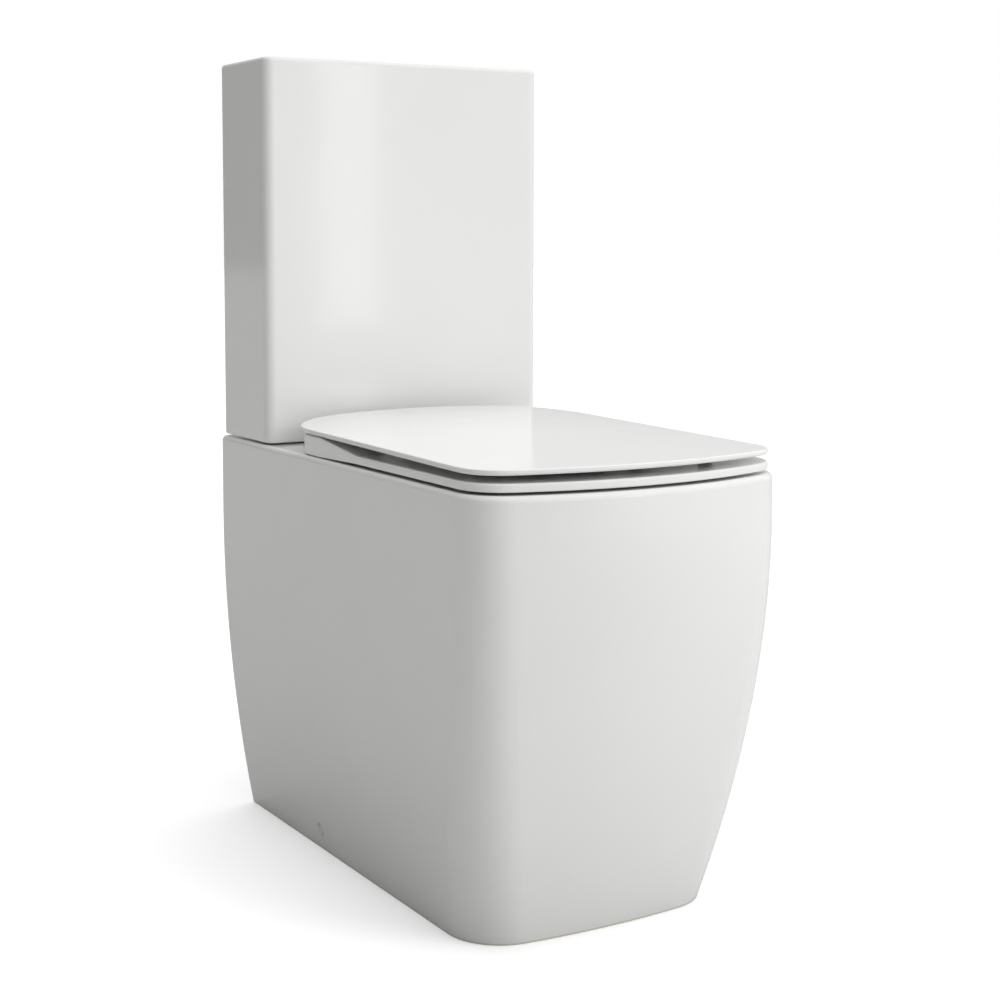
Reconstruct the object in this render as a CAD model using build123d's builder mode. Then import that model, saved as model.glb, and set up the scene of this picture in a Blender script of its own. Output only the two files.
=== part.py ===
from build123d import *
import math
import os

os.makedirs("parts", exist_ok=True)

# A close coupled toilet: a fully skirted pan, a cistern bolted to its ledge, a dual flush
# valve, a fill valve, and a slim soft close seat. Millimetres. +Z is up, the wall is on the
# +Y side and the user on the -Y side. The origin is under the middle, on the floor.

# Pan, vitreous china
DEPTH = 610.0                  # from the wall to the front of the rim
PAN_WIDTH = 352.0
PAN_HEIGHT = 438.0
SIDE_TUCK = 34.0               # how far each side draws in at the floor
SIDE_TUCK_TOP = 350.0          # height where the sides start to draw in
FRONT_TUCK = 80.0
FRONT_TUCK_TOP = 405.0
RIM_CROWN = 38.0               # how far the front bows out, at the rim and at the floor
FLOOR_CROWN = 12.0
RIM_CORNER = 52.0
FLOOR_CORNER = 58.0
SKIRT_WALL = 12.0
DECK_THICKNESS = 14.0
RIM_ROUND = 6.0
BOWL_WALL = 10.0
BOWL_WIDTH = 256.0
BOWL_LENGTH = 340.0
RIM_LAND = 52.0                # rim front to the bowl's opening
BOWL_LIP = 7.0

# Trap and outlet
TRAP_BORE = 76.0
TRAP_WALL = 10.0
TRAP_DIP = 125.0               # height of the trap's centre under the bowl
TRAP_CREST = 258.0             # height of the corner over the weir
OUTLET_HEIGHT = 185.0
SPIGOT_DIAMETER = 102.0
SPIGOT_LENGTH = 60.0
SPIGOT_SETBACK = 6.0           # wall plane to the spigot's end

# Cistern, vitreous china
CISTERN_WIDTH = 347.0
CISTERN_DEPTH = 124.0
CISTERN_TOP = 860.0
CISTERN_GAP = 2.0              # the joint line between the cistern and the pan
CISTERN_WALL = 10.0
CISTERN_FLOOR = 14.0
CISTERN_FRONT_ROUND = 11.0
CISTERN_BACK_ROUND = 6.0
CISTERN_TOP_ROUND = 4.5
CISTERN_FOOT_ROUND = 3.0
LID_THICKNESS = 10.5
LID_GAP = 1.5
LID_DROP = 0.5                 # the lid lies this far below the cistern's top edge
LUG = 18.0
LUG_HEIGHT = 26.0

# Flush inlet and the joint between cistern and pan
INLET_BOSS_RADIUS = 60.0
INLET_RECESS_DEPTH = 20.0
INLET_HOLE_RADIUS = 38.0
DUCT_WIDTH = 104.0
DUCT_WALL = 10.0
DUCT_HEIGHT = 28.0
GASKET_RADIUS = 52.0
GASKET_CLEARANCE = 1.0
GASKET_WALL = 8.0
GASKET_FLANGE = 6.0
BOLT_SPACING = 164.0
BOLT_RADIUS = 4.0
BOLT_CLEARANCE = 1.0
BOLT_TAIL = 43.0               # how far the bolts reach below the deck's top
BOLT_HEAD_RADIUS = 8.0
BOLT_HEAD = 6.0
BOLT_RUBBER_RADIUS = 13.0
BOLT_STEEL_RADIUS = 12.0
STEEL_WASHER = 1.5
DECK_WASHER = 2.5
WING_NUT = 10.0

# Flush valve
TAIL_RADIUS = 29.0
TAIL_BORE = 25.0
TAIL_DROP = 44.0               # cistern's underside to the tail's end
TAIL_CLEARANCE = 2.0
BACKNUT_RADIUS = 41.0
BACKNUT_HEIGHT = 12.0
VALVE_FLANGE_RADIUS = 40.0
VALVE_FLANGE = 6.0
VALVE_WASHER_RADIUS = 42.0
WASHER = 3.0
CAGE_HEIGHT = 47.0
HOUSING_HEIGHT = 250.0
HOUSING_WALL = 3.0
TUBE_RADIUS = 16.0
TUBE_WALL = 2.0
TUBE_TOP_GAP = 12.0            # how far the tube stands out of the housing
SEAL_RADIUS = 31.0
SEAL = 3.7
CARRIER = 4.0
RUNNING_GAP = 0.3              # between a seal and its seat, and under each buffer

# Push button and levers
BEZEL_RADIUS = 30.0
BEZEL_FLANGE = 1.8
BARREL_RADIUS = 23.5
BARREL_WALL = 2.0
BARREL_CLEARANCE = 0.5
BARREL_DEPTH = 24.0
CUP_FLOOR = 2.0
BEZEL_NUT_RADIUS = 30.0
BEZEL_NUT = 8.0
BUTTON_GAP = 0.4
BUTTON_THICKNESS = 4.0
BUTTON_SPLIT = 5.0             # the line between the two buttons, right of the middle
ROD_RADIUS = 3.0
ROD_CLEARANCE = 0.6
FULL_ROD = (-9.0, -7.0)        # each rod's place from the valve's middle
HALF_ROD = (12.0, 7.0)
SPRING_RADIUS = 4.3
SPRING_WIRE = 0.5
SPRING_TURNS = 5.0
LEVER_PIVOT = 1.0
LEVER_RISE = 36.0              # pivot's height above the housing
LEVER_THICKNESS = 4.0
LEVER_WIDTH = 6.0
LEVER_PIN_RADIUS = 1.5
FIT = 0.05                     # radial clearance of a running fit
TOUCH_GAP = 0.5
FULL_REACH = 20.0
HALF_REACH = 16.0

# Fill valve
FILL_X = -117.0                # its tail hangs clear of the skirt, all the way down
FILL_TAIL_RADIUS = 10.475      # half inch pipe thread
FILL_TAIL_DROP = 48.0
FILL_NECK_RADIUS = 10.2        # the tail inside its nut and the cistern's floor
FILL_FLANGE_RADIUS = 17.0
FILL_RISER_RADIUS = 12.0
FILL_RISER_TOP = 735.0
FILL_HEAD_RADIUS = 22.0
FILL_HEAD = 33.0
FILL_CAP = 10.0
FILL_NUT = 9.0
FILL_NUT_RADIUS = 16.0
FILL_HOLE_RADIUS = 22.0
ARM_REACH = 44.0
FLOAT_SIZE = (30.0, 44.0, 34.0)

# Seat
SEAT_INSET = 4.0               # the seat's edge stands in from the pan's edge
SEAT_FRONT_INSET = 5.0
RING_LIFT = 2.7                # the ring's underside above the rim
RING_THICKNESS = 8.2
RING_WIDTH = 57.0
RING_REAR_WIDTH = 92.0
RING_ROUND = 2.4
RING_BEND = 150.0              # radius where the ring's side view bends
RING_STEP_FRONT = -25.0        # where the ring starts to thicken towards its hinge
RING_STEP_REAR = 55.0
RING_REAR_LIFT = 0.6
RING_REAR_TOP = 21.3
COVER_LIFT = 17.0              # the cover's lower edge above the rim at the front
COVER_THICKNESS = 5.3
COVER_ROUND = 1.4
COVER_BEVEL = 1.8
COVER_SLOPE = 0.0135           # rise towards the hinge, per millimetre
COVER_FRONT_CROWN = 1.5
COVER_REAR_CROWN = 7.0
COVER_REAR_CORNER = 75.0
COVER_REAR_BOW = 8.0
COVER_OVERHANG = 13.0          # cover's rear edge behind the hinge line
HINGE_TO_CISTERN = 34.0
HINGE_HEIGHT = 15.0            # hinge line above the rim
HINGE_SPACING = 155.0
POST_WIDTH = 18.0
POST_DEPTH = 16.0
POST_TOP_RADIUS = 7.5
PLATE_RADIUS = 16.0
PLATE_THICKNESS = 2.5
HINGE_PIN_RADIUS = 4.0
KNUCKLE_LENGTH = 14.6
KNUCKLE_GAP = 0.4
RING_KNUCKLE_RADIUS = 7.5
RING_BUSH_RADIUS = 6.0
COVER_KNUCKLE_RADIUS = 8.5
DAMPER_RADIUS = 6.5
STUD_RADIUS = 4.0
STUD_HOLE = 6.0
STUD_DROP = 45.0
STUD_WASHER_RADIUS = 11.0

# Floor fixing
FIXING_FROM_WALL = 194.0
FIXING_HEIGHT = 24.0
CAP_RADIUS = 6.5
CAP_THICKNESS = 3.5
SCREW_RADIUS = 3.0
SCREW_HEAD_RADIUS = 4.5
SCREW_HEAD = 3.0
PAD_THICKNESS = 11.5
BRACKET_THICKNESS = 4.0
BRACKET_WIDTH = 28.0
BRACKET_LEG = 38.0
BRACKET_HEIGHT = 42.0
BRACKET_HOLE = 3.5
HOLE_CLEARANCE = 0.5
SIDE_NUT_RADIUS = 5.8
SIDE_NUT = 5.0

# Places worked out from the sizes above
BACK = DEPTH / 2
FRONT = -DEPTH / 2
DECK_UNDER = PAN_HEIGHT - DECK_THICKNESS
CISTERN_BOTTOM = PAN_HEIGHT + CISTERN_GAP
CISTERN_INSIDE = CISTERN_BOTTOM + CISTERN_FLOOR
CISTERN_Y = BACK - CISTERN_DEPTH / 2
CISTERN_FRONT = BACK - CISTERN_DEPTH
LID_TOP = CISTERN_TOP - LID_DROP
LID_UNDER = LID_TOP - LID_THICKNESS
RECESS_FLOOR = PAN_HEIGHT - INLET_RECESS_DEPTH
HINGE_Y = CISTERN_FRONT - HINGE_TO_CISTERN
HINGE_Z = PAN_HEIGHT + HINGE_HEIGHT
BOWL_FRONT = FRONT + RIM_LAND
BOWL_BACK = BOWL_FRONT + BOWL_LENGTH
FIXING_Y = BACK - FIXING_FROM_WALL
VALVE_SEAT = CISTERN_INSIDE + WASHER + VALVE_FLANGE
HOUSING_BOTTOM = VALVE_SEAT + CAGE_HEIGHT
HOUSING_TOP = HOUSING_BOTTOM + HOUSING_HEIGHT
PIVOT_Z = HOUSING_TOP + LEVER_RISE
ROD_END = PIVOT_Z + LEVER_THICKNESS / 2 + TOUCH_GAP
BUTTON_TOP = LID_TOP + BEZEL_FLANGE
CUP_TOP = LID_TOP - BARREL_DEPTH + CUP_FLOOR
OVER = 5.0                     # how far a cutting shape runs past what it cuts
MIRRORED = (-1, 1)


def save(piece, name):
    """Label a finished piece and write it as its own STEP file."""
    piece.part.label = name
    export_step(piece.part, f"parts/{name}.step")


def tuck(z, top, amount, power):
    """How far a face has drawn in at height z, below the height where it starts."""
    return amount * (max(0.0, top - z) / top) ** power


def pan_body(inset, bottom, top, back):
    """The pan's outer form drawn in by inset, lofted through level outlines."""
    steps = 8
    with BuildPart() as form:
        for step in range(steps + 1):
            z = bottom + (top - bottom) * step / steps
            low = 1 - z / PAN_HEIGHT
            half = PAN_WIDTH / 2 - inset - tuck(z, SIDE_TUCK_TOP, SIDE_TUCK, 2.0)
            front = FRONT + inset + tuck(z, FRONT_TUCK_TOP, FRONT_TUCK, 1.6)
            crown = RIM_CROWN + (FLOOR_CROWN - RIM_CROWN) * low
            corner = RIM_CORNER + (FLOOR_CORNER - RIM_CORNER) * low - inset
            with BuildSketch(Plane.XY.offset(z)) as level:
                with BuildLine():
                    sides = Polyline(
                        (-half, front + crown), (-half, back), (half, back), (half, front + crown)
                    )
                    ThreePointArc(sides @ 1, (0, front), sides @ 0)
                make_face()
                fillet(level.vertices().group_by(Axis.Y)[0], corner)
        loft()
    return form.part


def bowl_form(grow):
    """The bowl, from its opening down to the sump, made larger all round by grow."""
    middle = (BOWL_FRONT + BOWL_BACK) / 2
    sump = 92.0
    rows = [
        # height, width, length, centre, corner
        (PAN_HEIGHT, BOWL_WIDTH, BOWL_LENGTH, middle, 100.0),
        (370.0, BOWL_WIDTH - 8, BOWL_LENGTH - 10, middle + 2, 98.0),
        (290.0, BOWL_WIDTH - 56, BOWL_LENGTH - 66, middle + 20, 80.0),
        (215.0, 132.0, 192.0, BOWL_BACK - 121, 55.0),
        (150.0, 90.0, 120.0, BOWL_BACK - 95, 40.0),
        (sump, 74.0, 72.0, BOWL_BACK - 81, 34.0),
    ]
    with BuildPart() as form:
        for height, width, length, centre, corner in rows:
            drop = grow if height == sump else 0
            with BuildSketch(Plane.XY.offset(height - drop)):
                with Locations((0, centre)):
                    RectangleRounded(width + 2 * grow, length + 2 * grow, corner + grow)
        loft()
    return form.part


def trap_tube(radius, start):
    """A round tube along the trap: under the bowl, over the weir, and out to the wall."""
    dip = (0, BOWL_BACK - 25, TRAP_DIP)
    crest = (0, BOWL_BACK + 48, TRAP_CREST)
    foot = (0, BOWL_BACK + 125, OUTLET_HEIGHT)
    end = (0, BACK - SPIGOT_SETBACK, OUTLET_HEIGHT)
    with BuildPart() as tube:
        with BuildLine() as path:
            FilletPolyline((0, start, TRAP_DIP), dip, crest, foot, end, radius=[62.0, 53.0, 60.0])
        with BuildSketch(Plane(origin=(0, start, TRAP_DIP), z_dir=(0, 1, 0))):
            Circle(radius)
        sweep(path=path.line)
    return tube.part


def rings(places, bottom, top, outer, inner):
    """An upright ring at each place."""
    with BuildPart() as made:
        with BuildSketch(Plane.XY.offset(bottom)):
            with Locations(*places):
                Circle(outer)
                Circle(inner, mode=Mode.SUBTRACT)
        extrude(amount=top - bottom)
    return made


def hex_nuts(places, bottom, top, corner_radius, bore):
    """An upright hexagonal nut at each place."""
    with BuildPart() as made:
        with BuildSketch(Plane.XY.offset(bottom)):
            with Locations(*places):
                RegularPolygon(corner_radius, 6)
                Circle(bore, mode=Mode.SUBTRACT)
        extrude(amount=top - bottom)
    return made


def wing_nuts(places, top, height, bore):
    """A nut with two wings at each place, hanging from top."""
    with BuildPart() as made:
        with BuildSketch(Plane.XY.offset(top)):
            with Locations(*places):
                Circle(bore + 4)
                Circle(bore, mode=Mode.SUBTRACT)
        extrude(amount=-height)
        with BuildSketch(Plane.XY.offset(top - height)):
            with Locations(*places):
                with GridLocations(2 * (bore + 6), 0, 2, 1):
                    SlotOverall(9.0, 3.0)
        extrude(amount=height * 0.8)
    return made


def edges_round(faces):
    """The edges round a run of joined faces, without those between two of them."""
    every = [edge for face in faces for edge in face.edges()]
    return [edge for edge in every if sum(edge.is_same(other) for other in every) == 1]


def seat_outline(rear, rear_corner, rear_bow):
    """The seat's outline seen from above, with a bowed front and rear."""
    half = PAN_WIDTH / 2 - SEAT_INSET
    front = FRONT + SEAT_FRONT_INSET
    crown = RIM_CROWN - 2
    with BuildSketch() as outline:
        with BuildLine():
            left = Line((-half, front + crown), (-half, rear - rear_bow))
            back = ThreePointArc(left @ 1, (0, rear), (half, rear - rear_bow))
            right = Line(back @ 1, (half, front + crown))
            ThreePointArc(right @ 1, (0, front), left @ 0)
        make_face()
        fillet(outline.vertices().group_by(Axis.Y)[0], RIM_CORNER - SEAT_INSET)
        fillet(outline.vertices().group_by(Axis.Y)[-1], rear_corner)
    return outline.sketch


# ---------------------------------------------------------------- pan
outer_form = pan_body(0, 0, PAN_HEIGHT, BACK)
cavity = pan_body(SKIRT_WALL, -OVER, DECK_UNDER, BACK + OVER)
bowl_outside = bowl_form(BOWL_WALL)
bowl_inside = bowl_form(0)
trap_start = BOWL_BACK - 85
trap_outside = trap_tube(TRAP_BORE / 2 + TRAP_WALL, trap_start)
trap_inside = trap_tube(TRAP_BORE / 2, trap_start)
duct_top = RECESS_FLOOR - 6
duct_bottom = duct_top - DUCT_HEIGHT
duct_length = CISTERN_Y - BOWL_BACK + INLET_HOLE_RADIUS
seat_x = HINGE_SPACING / 2
bolt_x = BOLT_SPACING / 2
seat_places = [(-seat_x, HINGE_Y), (seat_x, HINGE_Y)]
bolt_places = [(-bolt_x, CISTERN_Y), (bolt_x, CISTERN_Y)]
side_at_fixing = PAN_WIDTH / 2 - tuck(FIXING_HEIGHT, SIDE_TUCK_TOP, SIDE_TUCK, 2.0)
cap_seat = math.floor(side_at_fixing - CAP_THICKNESS)
head_seat = cap_seat - SCREW_HEAD
pad_face = head_seat - PAD_THICKNESS
side_steps = [
    (cap_seat, CAP_RADIUS + HOLE_CLEARANCE),
    (head_seat, SCREW_HEAD_RADIUS + HOLE_CLEARANCE),
    (pad_face - OVER, SCREW_RADIUS + HOLE_CLEARANCE),
]

with BuildPart() as pan:
    add(outer_form)
    top_face = pan.faces().sort_by(Axis.Z)[-1]
    fillet(top_face.edges().filter_by(lambda edge: edge.center().Y < BACK - 1), RIM_ROUND)
    add(cavity, mode=Mode.SUBTRACT)
    # the bowl, the trap and the flush duct stand inside the skirt
    add(bowl_outside)
    add(trap_outside)
    with BuildSketch(Plane.XZ.offset(-(BACK - SPIGOT_SETBACK))):
        with Locations((0, OUTLET_HEIGHT)):
            Circle(SPIGOT_DIAMETER / 2)
    extrude(amount=SPIGOT_LENGTH)
    with BuildSketch(Plane.XY.offset(duct_bottom - DUCT_WALL)):
        with Locations((0, CISTERN_Y)):
            Circle(INLET_BOSS_RADIUS)
        with Locations((0, BOWL_BACK)):
            Rectangle(DUCT_WIDTH, CISTERN_Y - BOWL_BACK, align=(Align.CENTER, Align.MIN))
    extrude(until=Until.NEXT)
    # flat pads inside the skirt where the floor brackets bolt on
    with BuildSketch(Plane.XY.offset(4)):
        for side in MIRRORED:
            with Locations((side * pad_face, FIXING_Y)):
                across = Align.MIN if side > 0 else Align.MAX
                Rectangle(12.0, BRACKET_WIDTH + 6, align=(across, Align.CENTER))
    extrude(amount=BRACKET_HEIGHT)
    # hollow the bowl, the trap, the duct and the inlet
    add(bowl_inside, mode=Mode.SUBTRACT)
    add(trap_inside, mode=Mode.SUBTRACT)
    with BuildSketch(Plane.XY.offset(duct_bottom)):
        with Locations((0, BOWL_BACK - OVER)):
            Rectangle(2 * INLET_HOLE_RADIUS, duct_length + OVER, align=(Align.CENTER, Align.MIN))
    extrude(amount=DUCT_HEIGHT, mode=Mode.SUBTRACT)
    with BuildSketch(Plane.XY.offset(PAN_HEIGHT)):
        with Locations((0, CISTERN_Y)):
            Circle(GASKET_RADIUS + GASKET_CLEARANCE)
    extrude(amount=-INLET_RECESS_DEPTH, mode=Mode.SUBTRACT)
    with BuildSketch(Plane.XY.offset(duct_top - 1)):
        with Locations((0, CISTERN_Y)):
            Circle(INLET_HOLE_RADIUS)
    extrude(amount=RECESS_FLOOR - duct_top + 2, mode=Mode.SUBTRACT)
    # holes in the deck for the seat, the cistern bolts and the fill valve's tail
    with BuildSketch(Plane.XY.offset(PAN_HEIGHT)):
        with Locations(*seat_places):
            Circle(STUD_HOLE)
        with Locations(*bolt_places):
            Circle(BOLT_RADIUS + 2 * BOLT_CLEARANCE)
        with Locations((FILL_X, CISTERN_Y)):
            Circle(FILL_HOLE_RADIUS)
    extrude(amount=-DECK_THICKNESS - OVER, mode=Mode.SUBTRACT)
    # stepped holes for the side fixings
    for side in MIRRORED:
        for start, radius in side_steps:
            with BuildSketch(Plane.YZ.offset(side * start)):
                with Locations((FIXING_Y, FIXING_HEIGHT)):
                    Circle(radius)
            extrude(amount=side * 30.0, mode=Mode.SUBTRACT)
    mouth = pan.faces().filter_by(Axis.Z).sort_by(Axis.Z)[-1].inner_wires()
    fillet(mouth.sort_by(lambda wire: wire.length)[-1].edges(), BOWL_LIP)
save(pan, "pan")

# ---------------------------------------------------------------- cistern
inside_width = CISTERN_WIDTH - 2 * CISTERN_WALL
inside_depth = CISTERN_DEPTH - 2 * CISTERN_WALL
inside_round = 6.0
with BuildPart() as cistern:
    with BuildSketch(Plane.XY.offset(CISTERN_BOTTOM)) as foot:
        with Locations((0, CISTERN_Y)):
            Rectangle(CISTERN_WIDTH, CISTERN_DEPTH)
        fillet(foot.vertices().group_by(Axis.Y)[0], CISTERN_FRONT_ROUND)
        fillet(foot.vertices().group_by(Axis.Y)[-1], CISTERN_BACK_ROUND)
    extrude(amount=CISTERN_TOP - CISTERN_BOTTOM)
    fillet(cistern.faces().sort_by(Axis.Z)[-1].edges(), CISTERN_TOP_ROUND)
    fillet(cistern.faces().sort_by(Axis.Z)[0].edges(), CISTERN_FOOT_ROUND)
    with BuildSketch(Plane.XY.offset(CISTERN_INSIDE)):
        with Locations((0, CISTERN_Y)):
            RectangleRounded(inside_width, inside_depth, inside_round)
    extrude(amount=CISTERN_TOP - CISTERN_INSIDE + OVER, mode=Mode.SUBTRACT)
    # a lug in each corner carries the lid
    with BuildSketch(Plane.XY.offset(LID_UNDER)):
        with Locations((0, CISTERN_Y)):
            with GridLocations(inside_width - LUG, inside_depth - LUG, 2, 2):
                Rectangle(LUG, LUG)
    extrude(amount=-LUG_HEIGHT)
    with BuildSketch(Plane.XY.offset(CISTERN_INSIDE)):
        with Locations((0, CISTERN_Y)):
            Circle(TAIL_RADIUS + TAIL_CLEARANCE)
        with Locations(*bolt_places):
            Circle(BOLT_RADIUS + BOLT_CLEARANCE)
        with Locations((FILL_X, CISTERN_Y)):
            Circle(FILL_TAIL_RADIUS + BOLT_CLEARANCE)
    extrude(amount=-CISTERN_FLOOR - OVER, mode=Mode.SUBTRACT)
save(cistern, "cistern")

with BuildPart() as cistern_lid:
    with BuildSketch(Plane.XY.offset(LID_UNDER)):
        with Locations((0, CISTERN_Y)):
            RectangleRounded(
                inside_width - 2 * LID_GAP, inside_depth - 2 * LID_GAP, inside_round - LID_GAP
            )
            Circle(BARREL_RADIUS + BARREL_CLEARANCE, mode=Mode.SUBTRACT)
    extrude(amount=LID_THICKNESS)
    outside_edges = cistern_lid.faces().sort_by(Axis.Z)[-1].outer_wire().edges()
    fillet(outside_edges, 2.0)
save(cistern_lid, "cistern_lid")

# ---------------------------------------------------------------- joint between the two
with BuildPart() as doughnut_gasket:
    with BuildSketch(Plane.XY.offset(RECESS_FLOOR)):
        with Locations((0, CISTERN_Y)):
            Circle(GASKET_RADIUS)
    extrude(amount=CISTERN_BOTTOM - RECESS_FLOOR)
    with BuildSketch(Plane.XY.offset(RECESS_FLOOR + GASKET_FLANGE)):
        with Locations((0, CISTERN_Y)):
            Circle(GASKET_RADIUS - GASKET_WALL)
    extrude(amount=CISTERN_BOTTOM, mode=Mode.SUBTRACT)
    with BuildSketch(Plane.XY.offset(RECESS_FLOOR)):
        with Locations((0, CISTERN_Y)):
            Circle(TAIL_RADIUS + 1)
    extrude(amount=GASKET_FLANGE, mode=Mode.SUBTRACT)
save(doughnut_gasket, "doughnut_gasket")

rubber_top = CISTERN_INSIDE + WASHER
steel_top = rubber_top + STEEL_WASHER
under_washer = DECK_UNDER - DECK_WASHER
rubber_washers = rings(bolt_places, CISTERN_INSIDE, rubber_top, BOLT_RUBBER_RADIUS, BOLT_RADIUS)
save(rubber_washers, "coupling_rubber_washers")
upper_washers = rings(bolt_places, rubber_top, steel_top, BOLT_STEEL_RADIUS, BOLT_RADIUS)
lower_washers = rings(bolt_places, under_washer, DECK_UNDER, BOLT_STEEL_RADIUS, BOLT_RADIUS)
with BuildPart() as coupling_steel_washers:
    add(upper_washers.part)
    add(lower_washers.part)
save(coupling_steel_washers, "coupling_steel_washers")
with BuildPart() as coupling_bolts:
    with BuildSketch(Plane.XY.offset(PAN_HEIGHT - BOLT_TAIL)):
        with Locations(*bolt_places):
            Circle(BOLT_RADIUS)
    extrude(amount=steel_top - PAN_HEIGHT + BOLT_TAIL)
    with BuildSketch(Plane.XY.offset(steel_top)):
        with Locations(*bolt_places):
            RegularPolygon(BOLT_HEAD_RADIUS, 6)
    extrude(amount=BOLT_HEAD)
save(coupling_bolts, "coupling_bolts")
save(wing_nuts(bolt_places, under_washer, WING_NUT, BOLT_RADIUS), "coupling_wing_nuts")

# ---------------------------------------------------------------- flush valve
valve_place = [(0, CISTERN_Y)]
bridge = HOUSING_TOP - 4.0
cheek_y = TUBE_RADIUS + 5
with BuildPart() as flush_valve_housing:
    with BuildSketch(Plane.XY.offset(CISTERN_BOTTOM - TAIL_DROP)):
        with Locations(*valve_place):
            Circle(TAIL_RADIUS)
    extrude(amount=VALVE_SEAT - CISTERN_BOTTOM + TAIL_DROP)
    with BuildSketch(Plane.XY.offset(CISTERN_INSIDE + WASHER)):
        with Locations(*valve_place):
            Circle(VALVE_FLANGE_RADIUS)
    extrude(amount=VALVE_FLANGE)
    with BuildSketch(Plane.XY.offset(VALVE_SEAT)):
        with Locations(*valve_place):
            with PolarLocations(VALVE_FLANGE_RADIUS - 4, 4, start_angle=45):
                Rectangle(6, 10)
    extrude(amount=CAGE_HEIGHT + HOUSING_WALL)
    with BuildSketch(Plane.XY.offset(HOUSING_BOTTOM)):
        with Locations(*valve_place):
            Circle(VALVE_FLANGE_RADIUS)
            Circle(VALVE_FLANGE_RADIUS - HOUSING_WALL, mode=Mode.SUBTRACT)
    extrude(amount=HOUSING_HEIGHT)
    with BuildSketch(Plane.XY.offset(bridge)):
        with Locations(*valve_place):
            Circle(VALVE_FLANGE_RADIUS - HOUSING_WALL)
            Circle(TUBE_RADIUS + 2, mode=Mode.SUBTRACT)
    extrude(amount=HOUSING_TOP - bridge)
    with BuildSketch(Plane.XY.offset(CISTERN_BOTTOM - TAIL_DROP)):
        with Locations(*valve_place):
            Circle(TAIL_BORE)
    extrude(amount=VALVE_SEAT - CISTERN_BOTTOM + TAIL_DROP, mode=Mode.SUBTRACT)
    # two cheeks hold the levers' pin
    with BuildSketch(Plane.XY.offset(HOUSING_TOP)):
        for side in MIRRORED:
            with Locations((LEVER_PIVOT, CISTERN_Y + side * cheek_y)):
                Rectangle(10, 4)
    extrude(amount=LEVER_RISE + 4)
    with BuildSketch(Plane.XZ.offset(-CISTERN_Y)):
        with Locations((LEVER_PIVOT, PIVOT_Z)):
            Circle(LEVER_PIN_RADIUS)
    extrude(amount=cheek_y + OVER, both=True, mode=Mode.SUBTRACT)
save(flush_valve_housing, "flush_valve_housing")
valve_washer = rings(
    valve_place, CISTERN_INSIDE, CISTERN_INSIDE + WASHER, VALVE_WASHER_RADIUS, TAIL_RADIUS
)
save(valve_washer, "flush_valve_washer")
save(
    hex_nuts(valve_place, CISTERN_BOTTOM - BACKNUT_HEIGHT, CISTERN_BOTTOM, BACKNUT_RADIUS, TAIL_RADIUS),
    "flush_valve_backnut",
)

seal_bottom = VALVE_SEAT + RUNNING_GAP
carrier_bottom = seal_bottom + SEAL
tube_top = HOUSING_TOP + TUBE_TOP_GAP
hook_under = PIVOT_Z + LEVER_THICKNESS / 2 + TOUCH_GAP
hook_y = CISTERN_Y + FULL_ROD[1]
post_x = LEVER_PIVOT + FULL_REACH + 3
tube_bore = TUBE_RADIUS - TUBE_WALL
save(rings(valve_place, seal_bottom, carrier_bottom, SEAL_RADIUS, tube_bore), "flush_seal")
with BuildPart() as flush_lift_tube:
    with BuildSketch(Plane.XY.offset(carrier_bottom)):
        with Locations(*valve_place):
            Circle(SEAL_RADIUS - 1)
    extrude(amount=CARRIER)
    with BuildSketch(Plane.XY.offset(carrier_bottom)):
        with Locations(*valve_place):
            Circle(TUBE_RADIUS)
    extrude(amount=tube_top - carrier_bottom)
    # an arm, a post and a hook reach over the end of the full flush lever
    with BuildSketch(Plane.XY.offset(tube_top - 4)):
        with Locations((TUBE_RADIUS - 5, hook_y)):
            Rectangle(post_x + 3 - TUBE_RADIUS + 5, 8, align=(Align.MIN, Align.CENTER))
    extrude(amount=4)
    with BuildSketch(Plane.XY.offset(tube_top)):
        with Locations((post_x, hook_y)):
            Rectangle(3, 8, align=(Align.MIN, Align.CENTER))
    extrude(amount=hook_under + 3 - tube_top)
    with BuildSketch(Plane.XY.offset(hook_under)):
        with Locations((post_x, hook_y)):
            Rectangle(10, 8, align=(Align.MAX, Align.CENTER))
    extrude(amount=3)
    with BuildSketch(Plane.XY.offset(carrier_bottom)):
        with Locations(*valve_place):
            Circle(tube_bore)
    extrude(amount=tube_top - carrier_bottom, mode=Mode.SUBTRACT)
save(flush_lift_tube, "flush_lift_tube")

with BuildPart() as flush_lever_pin:
    with BuildSketch(Plane.XZ.offset(-CISTERN_Y)):
        with Locations((LEVER_PIVOT, PIVOT_Z)):
            Circle(LEVER_PIN_RADIUS)
    extrude(amount=cheek_y + 2, both=True)
save(flush_lever_pin, "flush_lever_pin")


def lever(rod, reach, direction):
    """A rocking lever: the rod presses one arm, the other arm rises on the far side."""
    inner = min(rod[0] - 3 * direction, LEVER_PIVOT + direction * reach)
    outer = max(rod[0] - 3 * direction, LEVER_PIVOT + direction * reach)
    with BuildPart() as made:
        with BuildSketch(Plane.XZ.offset(-(CISTERN_Y + rod[1]))):
            with Locations(((inner + outer) / 2, PIVOT_Z)):
                RectangleRounded(outer - inner, LEVER_THICKNESS, 1.0)
            with Locations((LEVER_PIVOT, PIVOT_Z)):
                Circle(LEVER_PIN_RADIUS + 1.8)
                Circle(LEVER_PIN_RADIUS + FIT, mode=Mode.SUBTRACT)
        extrude(amount=LEVER_WIDTH / 2, both=True)
    return made


save(lever(FULL_ROD, FULL_REACH, 1), "full_flush_lever")
save(lever(HALF_ROD, HALF_REACH, -1), "half_flush_lever")

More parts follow.
